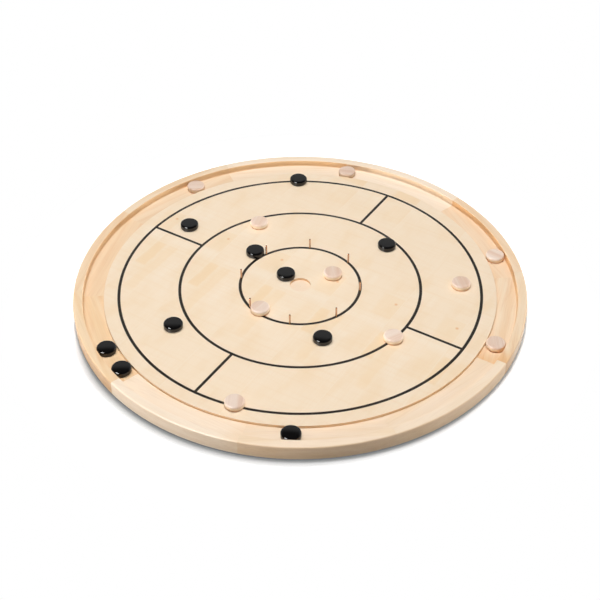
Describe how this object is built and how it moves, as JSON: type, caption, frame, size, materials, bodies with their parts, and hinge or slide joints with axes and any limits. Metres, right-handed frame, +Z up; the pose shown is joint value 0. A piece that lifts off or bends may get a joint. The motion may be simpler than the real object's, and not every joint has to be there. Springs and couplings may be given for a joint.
{
  "type": "crokinole board",
  "caption": "Round wooden crokinole board: glued segment rim with a ditch, playing panel with lines, centre hole and metal posts, and black and natural discs lying on it.",
  "frame": {"origin": "middle of the board, on the surface that it stands on", "axes": "+Z up, square to the playing face; the four quadrant lines lie at 45, 135, 225 and 315 degrees from +X"},
  "size_m": [0.76, 0.76, 0.0403],
  "materials": {
    "ring_maple": "satin clear lacquer",
    "panel_maple": "maple veneer on plywood, clear lacquer over black printed lines",
    "post_steel": "nickel plated",
    "tenon_beech": "bare",
    "screw_steel": "zinc plated",
    "pad_felt": "pressed felt",
    "black_disc_lacquer": "gloss black lacquer",
    "natural_disc_wood": "clear lacquer"
  },
  "bodies": {
    "board": {"ring_segment_01": "ring_maple", "ring_segment_02": "ring_maple", "ring_segment_03": "ring_maple", "ring_segment_04": "ring_maple", "ring_segment_05": "ring_maple", "ring_segment_06": "ring_maple", "ring_segment_07": "ring_maple", "ring_segment_08": "ring_maple", "ring_segment_09": "ring_maple", "ring_segment_10": "ring_maple", "playing_panel": "panel_maple", "post_1": "post_steel", "post_2": "post_steel", "post_3": "post_steel", "post_4": "post_steel", "post_5": "post_steel", "post_6": "post_steel", "post_7": "post_steel", "post_8": "post_steel", "loose_tenon_01": "tenon_beech", "loose_tenon_02": "tenon_beech", "loose_tenon_03": "tenon_beech", "loose_tenon_04": "tenon_beech", "loose_tenon_05": "tenon_beech", "loose_tenon_06": "tenon_beech", "loose_tenon_07": "tenon_beech", "loose_tenon_08": "tenon_beech", "loose_tenon_09": "tenon_beech", "loose_tenon_10": "tenon_beech", "panel_screw_1": "screw_steel", "panel_screw_2": "screw_steel", "panel_screw_3": "screw_steel", "panel_screw_4": "screw_steel", "panel_screw_5": "screw_steel", "felt_pad_1": "pad_felt", "felt_pad_2": "pad_felt", "felt_pad_3": "pad_felt", "felt_pad_4": "pad_felt", "felt_pad_5": "pad_felt"},
    "black_disc_01": {"black_disc_01": "black_disc_lacquer"},
    "black_disc_02": {"black_disc_02": "black_disc_lacquer"},
    "black_disc_03": {"black_disc_03": "black_disc_lacquer"},
    "black_disc_04": {"black_disc_04": "black_disc_lacquer"},
    "black_disc_05": {"black_disc_05": "black_disc_lacquer"},
    "black_disc_06": {"black_disc_06": "black_disc_lacquer"},
    "black_disc_07": {"black_disc_07": "black_disc_lacquer"},
    "black_disc_08": {"black_disc_08": "black_disc_lacquer"},
    "black_disc_09": {"black_disc_09": "black_disc_lacquer"},
    "black_disc_10": {"black_disc_10": "black_disc_lacquer"},
    "natural_disc_01": {"natural_disc_01": "natural_disc_wood"},
    "natural_disc_02": {"natural_disc_02": "natural_disc_wood"},
    "natural_disc_03": {"natural_disc_03": "natural_disc_wood"},
    "natural_disc_04": {"natural_disc_04": "natural_disc_wood"},
    "natural_disc_05": {"natural_disc_05": "natural_disc_wood"},
    "natural_disc_06": {"natural_disc_06": "natural_disc_wood"},
    "natural_disc_07": {"natural_disc_07": "natural_disc_wood"},
    "natural_disc_08": {"natural_disc_08": "natural_disc_wood"},
    "natural_disc_09": {"natural_disc_09": "natural_disc_wood"},
    "natural_disc_10": {"natural_disc_10": "natural_disc_wood"}
  },
  "joints": [
    {"name": "black_disc_01_slide", "type": "slide", "parent": "board", "child": "black_disc_01", "axis": [-0.8192, 0.5736, 0], "range_m": [-0.211, 0.025]},
    {"name": "black_disc_02_slide", "type": "slide", "parent": "board", "child": "black_disc_02", "axis": [0.5736, 0.8192, 0], "range_m": [-0.211, 0.12]},
    {"name": "black_disc_03_slide", "type": "slide", "parent": "board", "child": "black_disc_03", "axis": [0.9063, 0.4226, 0], "range_m": [-0.182, 0.028]},
    {"name": "black_disc_04_slide", "type": "slide", "parent": "board", "child": "black_disc_04", "axis": [-0.2588, 0.9659, 0], "range_m": [-0.275, 0.144]},
    {"name": "black_disc_05_slide", "type": "slide", "parent": "board", "child": "black_disc_05", "axis": [-0.766, 0.6428, 0], "range_m": [-0.21, 0.115]},
    {"name": "black_disc_06_slide", "type": "slide", "parent": "board", "child": "black_disc_06", "axis": [0.5, 0.866, 0], "range_m": [-0.181, 0.043]},
    {"name": "black_disc_07_slide", "type": "slide", "parent": "board", "child": "black_disc_07", "axis": [-0.8192, 0.5736, 0], "range_m": [0, 0.102]},
    {"name": "natural_disc_01_slide", "type": "slide", "parent": "board", "child": "natural_disc_01", "axis": [-0.9962, 0.0872, 0], "range_m": [-0.143, 0.092]},
    {"name": "natural_disc_02_slide", "type": "slide", "parent": "board", "child": "natural_disc_02", "axis": [-0.9659, 0.2588, 0], "range_m": [-0.103, 0.028]},
    {"name": "natural_disc_03_slide", "type": "slide", "parent": "board", "child": "natural_disc_03", "axis": [-0.1736, 0.9848, 0], "range_m": [-0.082, 0.21]},
    {"name": "natural_disc_04_slide", "type": "slide", "parent": "board", "child": "natural_disc_04", "axis": [-0.7071, 0.7071, 0], "range_m": [-0.111, 0.08]},
    {"name": "natural_disc_05_slide", "type": "slide", "parent": "board", "child": "natural_disc_05", "axis": [-0.6428, 0.766, 0], "range_m": [-0.031, 0.217]},
    {"name": "natural_disc_06_slide", "type": "slide", "parent": "board", "child": "natural_disc_06", "axis": [-0.9848, 0.1736, 0], "range_m": [-0.263, 0]},
    {"name": "natural_disc_07_round_ditch", "type": "hinge", "parent": "board", "child": "natural_disc_07", "pos_m": [0, 0, 0.0158], "axis": [0, 0, 1], "range_deg": [-16.4, 28.3]},
    {"name": "natural_disc_08_round_ditch", "type": "hinge", "parent": "board", "child": "natural_disc_08", "pos_m": [0, 0, 0.0158], "axis": [0, 0, 1], "range_deg": [-28.3, 21.7]},
    {"name": "natural_disc_09_round_ditch", "type": "hinge", "parent": "board", "child": "natural_disc_09", "pos_m": [0, 0, 0.0158], "axis": [0, 0, 1], "range_deg": [-21.7, 38.8]},
    {"name": "black_disc_08_round_ditch", "type": "hinge", "parent": "board", "child": "black_disc_08", "pos_m": [0, 0, 0.0158], "axis": [0, 0, 1], "range_deg": [-38.8, 1.7]},
    {"name": "black_disc_09_round_ditch", "type": "hinge", "parent": "board", "child": "black_disc_09", "pos_m": [0, 0, 0.0158], "axis": [0, 0, 1], "range_deg": [-1.7, 22.8]},
    {"name": "black_disc_10_round_ditch", "type": "hinge", "parent": "board", "child": "black_disc_10", "pos_m": [0, 0, 0.0158], "axis": [0, 0, 1], "range_deg": [-22.8, 30.5]},
    {"name": "natural_disc_10_round_ditch", "type": "hinge", "parent": "board", "child": "natural_disc_10", "pos_m": [0, 0, 0.0158], "axis": [0, 0, 1], "range_deg": [-30.5, 16.4]}
  ]
}
